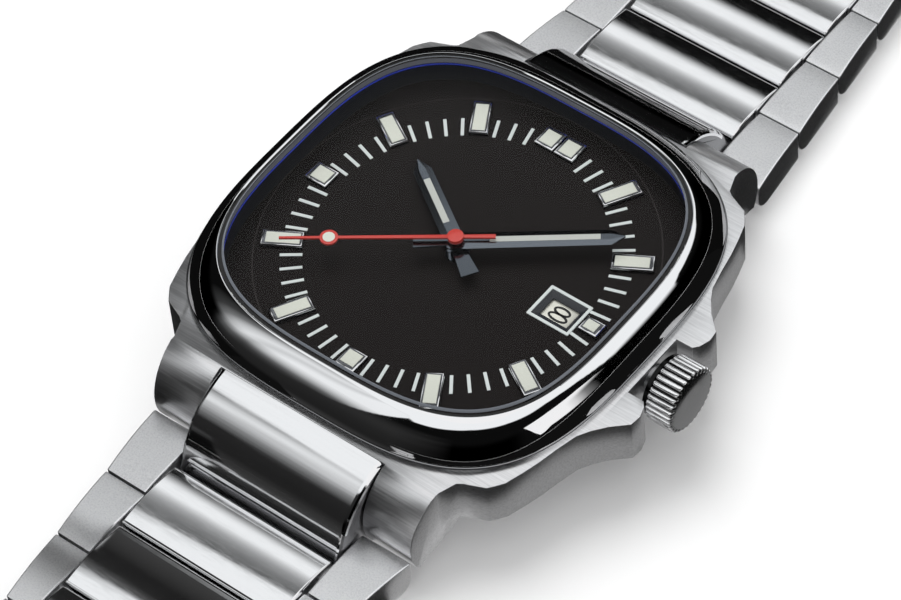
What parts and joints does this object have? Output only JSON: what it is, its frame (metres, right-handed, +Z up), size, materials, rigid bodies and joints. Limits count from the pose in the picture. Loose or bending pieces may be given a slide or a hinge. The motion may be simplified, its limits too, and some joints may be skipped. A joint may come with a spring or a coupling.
{
  "type": "wristwatch",
  "caption": "Wristwatch with a round dial under a cushion-shaped polished bezel, baton markers, a date window, a fluted crown and a metal link bracelet with a folding clasp.",
  "frame": {"origin": "centre of the case back's flat outer face, on which the watch lies", "axes": "+Z up through the dial, +Y from the dial's centre towards the 12 o'clock marker and along the open bracelet, +X towards the crown"},
  "size_m": [0.0422, 0.1651, 0.012],
  "materials": {
    "brushed_steel_case": "fine brushed",
    "polished_steel": "mirror polished",
    "link_steel": "brushed outer links, polished centre links",
    "crystal_glass": "clear polished",
    "seal_rubber": "matte",
    "dial_black": "satin black-brown",
    "lume": "matte cream",
    "print_white": "matte",
    "hand_steel": "brushed dark grey",
    "seconds_red": "satin red",
    "ring_plastic": "matte grey",
    "movement_brass": "polished",
    "movement_steel": "satin"
  },
  "bodies": {
    "case": {"case_middle": "brushed_steel_case", "bezel": "polished_steel", "crystal": "crystal_glass", "crystal_gasket": "seal_rubber", "case_back": "brushed_steel_case", "case_back_gasket": "seal_rubber", "crown_tube": "brushed_steel_case", "movement_ring": "ring_plastic", "dial": "dial_black", "flange": "dial_black", "hour_markers": "polished_steel", "marker_lume": "lume", "minute_track": "print_white", "date_frame": "print_white", "spring_bars": "brushed_steel_case", "end_links": "polished_steel", "mainplate": "movement_brass", "train_bridge": "movement_steel", "balance_cock": "movement_steel", "movement_screws": "movement_steel"},
    "hour_work": {"hour_wheel": "movement_brass", "hour_hand": "hand_steel", "hour_hand_lume": "lume"},
    "minute_work": {"cannon_pinion": "movement_steel", "minute_hand": "hand_steel", "minute_hand_lume": "lume"},
    "minute_transfer": {"minute_wheel": "movement_brass"},
    "seconds_work": {"fourth_wheel": "movement_brass", "seconds_hand": "seconds_red", "seconds_hand_lume": "lume"},
    "third_arbor": {"third_wheel": "movement_brass"},
    "center_arbor": {"center_wheel": "movement_brass"},
    "barrel_drum": {"barrel": "movement_brass", "mainspring": "movement_steel"},
    "escape_arbor": {"escape_wheel": "movement_steel"},
    "pallets": {"pallet_fork": "movement_steel"},
    "balance": {"balance_wheel": "movement_brass", "hairspring": "movement_steel"},
    "date_disc": {"date_ring": "print_white"},
    "winding_rotor": {"rotor": "movement_steel"},
    "crown_sleeve": {"sliding_pinion": "movement_steel"},
    "crown_stem": {"crown": "brushed_steel_case", "winding_stem": "movement_steel", "crown_gasket": "seal_rubber"},
    "twelve_row_1": {"row_twelve_1": "link_steel"},
    "twelve_row_2": {"row_twelve_2": "link_steel"},
    "twelve_row_3": {"row_twelve_3": "link_steel"},
    "twelve_row_4": {"row_twelve_4": "link_steel"},
    "twelve_row_5": {"row_twelve_5": "link_steel"},
    "twelve_row_6": {"row_twelve_6": "link_steel"},
    "six_row_1": {"row_six_1": "link_steel"},
    "six_row_2": {"row_six_2": "link_steel"},
    "six_row_3": {"row_six_3": "link_steel"},
    "six_row_4": {"row_six_4": "link_steel"},
    "six_row_5": {"row_six_5": "link_steel"},
    "clasp": {"clasp_cover": "brushed_steel_case"},
    "long_blade": {"clasp_blade_long": "brushed_steel_case"},
    "short_blade": {"clasp_blade_short": "brushed_steel_case"},
    "button_left": {"clasp_button_left": "polished_steel"},
    "button_right": {"clasp_button_right": "polished_steel"}
  },
  "joints": [
    {"name": "minute_turn", "type": "hinge", "parent": "case", "child": "minute_work", "pos_m": [0, 0, 0.008], "axis": [0, 0, -1], "continuous": true},
    {"name": "hour_turn", "type": "hinge", "parent": "case", "child": "hour_work", "pos_m": [0, 0, 0.008], "axis": [0, 0, -1], "continuous": true},
    {"name": "minute_wheel_turn", "type": "hinge", "parent": "case", "child": "minute_transfer", "pos_m": [0.00123, 0.00338, 0.008], "axis": [0, 0, -1], "continuous": true},
    {"name": "seconds_turn", "type": "hinge", "parent": "case", "child": "seconds_work", "pos_m": [0, 0, 0.005], "axis": [0, 0, -1], "continuous": true},
    {"name": "third_wheel_turn", "type": "hinge", "parent": "case", "child": "third_arbor", "pos_m": [0.002, -0.00346, 0.005], "axis": [0, 0, -1], "continuous": true},
    {"name": "center_wheel_turn", "type": "hinge", "parent": "case", "child": "center_arbor", "pos_m": [0, 0, 0.005], "axis": [0, 0, -1], "continuous": true},
    {"name": "barrel_turn", "type": "hinge", "parent": "case", "child": "barrel_drum", "pos_m": [-0.00273, 0.00473, 0.005], "axis": [0, 0, -1], "continuous": true},
    {"name": "escape_wheel_turn", "type": "hinge", "parent": "case", "child": "escape_arbor", "pos_m": [-0.00241, -0.00287, 0.005], "axis": [0, 0, -1], "continuous": true},
    {"name": "pallet_rock", "type": "hinge", "parent": "case", "child": "pallets", "pos_m": [-0.00466, -0.00445, 0.005], "axis": [0, 0, -1], "range_deg": [-4, 4]},
    {"name": "balance_swing", "type": "hinge", "parent": "case", "child": "balance", "pos_m": [-0.00826, -0.00445, 0.005], "axis": [0, 0, -1], "range_deg": [-135, 135]},
    {"name": "date_turn", "type": "hinge", "parent": "case", "child": "date_disc", "pos_m": [0, 0, 0.008], "axis": [0, 0, -1], "continuous": true},
    {"name": "rotor_turn", "type": "hinge", "parent": "case", "child": "winding_rotor", "pos_m": [0, 0, 0.0025], "axis": [0, 0, -1], "continuous": true},
    {"name": "crown_turn", "type": "hinge", "parent": "case", "child": "crown_sleeve", "pos_m": [0.009, 0, 0.0067], "axis": [1, 0, 0], "continuous": true},
    {"name": "crown_pull", "type": "slide", "parent": "crown_sleeve", "child": "crown_stem", "axis": [1, 0, 0], "range_m": [0, 0.0018]},
    {"name": "twelve_hinge_1", "type": "hinge", "parent": "case", "child": "twelve_row_1", "pos_m": [0, 0.0246, 0.0016], "axis": [-1, 0, 0], "range_deg": [0, 26]},
    {"name": "twelve_hinge_2", "type": "hinge", "parent": "twelve_row_1", "child": "twelve_row_2", "pos_m": [0, 0.0315, 0.0016], "axis": [-1, 0, 0], "range_deg": [0, 26]},
    {"name": "twelve_hinge_3", "type": "hinge", "parent": "twelve_row_2", "child": "twelve_row_3", "pos_m": [0, 0.0384, 0.0016], "axis": [-1, 0, 0], "range_deg": [0, 26]},
    {"name": "twelve_hinge_4", "type": "hinge", "parent": "twelve_row_3", "child": "twelve_row_4", "pos_m": [0, 0.0453, 0.0016], "axis": [-1, 0, 0], "range_deg": [0, 26]},
    {"name": "twelve_hinge_5", "type": "hinge", "parent": "twelve_row_4", "child": "twelve_row_5", "pos_m": [0, 0.0522, 0.0016], "axis": [-1, 0, 0], "range_deg": [0, 26]},
    {"name": "twelve_hinge_6", "type": "hinge", "parent": "twelve_row_5", "child": "twelve_row_6", "pos_m": [0, 0.0591, 0.0016], "axis": [-1, 0, 0], "range_deg": [0, 26]},
    {"name": "six_hinge_1", "type": "hinge", "parent": "case", "child": "six_row_1", "pos_m": [0, -0.0246, 0.0016], "axis": [1, 0, 0], "range_deg": [0, 26]},
    {"name": "six_hinge_2", "type": "hinge", "parent": "six_row_1", "child": "six_row_2", "pos_m": [0, -0.0315, 0.0016], "axis": [1, 0, 0], "range_deg": [0, 26]},
    {"name": "six_hinge_3", "type": "hinge", "parent": "six_row_2", "child": "six_row_3", "pos_m": [0, -0.0384, 0.0016], "axis": [1, 0, 0], "range_deg": [0, 26]},
    {"name": "six_hinge_4", "type": "hinge", "parent": "six_row_3", "child": "six_row_4", "pos_m": [0, -0.0453, 0.0016], "axis": [1, 0, 0], "range_deg": [0, 26]},
    {"name": "six_hinge_5", "type": "hinge", "parent": "six_row_4", "child": "six_row_5", "pos_m": [0, -0.0522, 0.0016], "axis": [1, 0, 0], "range_deg": [0, 26]},
    {"name": "clasp_hinge", "type": "hinge", "parent": "six_row_5", "child": "clasp", "pos_m": [0, -0.0591, 0.0016], "axis": [1, 0, 0], "range_deg": [0, 26]},
    {"name": "long_blade_fold", "type": "hinge", "parent": "clasp", "child": "long_blade", "pos_m": [0, -0.0931, 0.0019], "axis": [1, 0, 0], "range_deg": [-170, 0]},
    {"name": "short_blade_fold", "type": "hinge", "parent": "long_blade", "child": "short_blade", "pos_m": [0, -0.0651, 0.0013], "axis": [1, 0, 0], "range_deg": [0, 170]},
    {"name": "button_left_press", "type": "slide", "parent": "clasp", "child": "button_left", "axis": [1, 0, 0], "range_m": [0, 0.0006], "stiffness_N_per_m": 400},
    {"name": "button_right_press", "type": "slide", "parent": "clasp", "child": "button_right", "axis": [-1, 0, 0], "range_m": [0, 0.0006], "stiffness_N_per_m": 400}
  ],
  "couplings": [
    {"joint": "hour_turn", "follows": "minute_turn", "ratio": 0.083333},
    {"joint": "minute_wheel_turn", "follows": "minute_turn", "ratio": -0.33333},
    {"joint": "third_wheel_turn", "follows": "seconds_turn", "ratio": -0.13333},
    {"joint": "center_wheel_turn", "follows": "seconds_turn", "ratio": 0.016667},
    {"joint": "barrel_turn", "follows": "seconds_turn", "ratio": -0.0027778},
    {"joint": "escape_wheel_turn", "follows": "seconds_turn", "ratio": -12},
    {"joint": "short_blade_fold", "follows": "long_blade_fold", "ratio": -1}
  ]
}
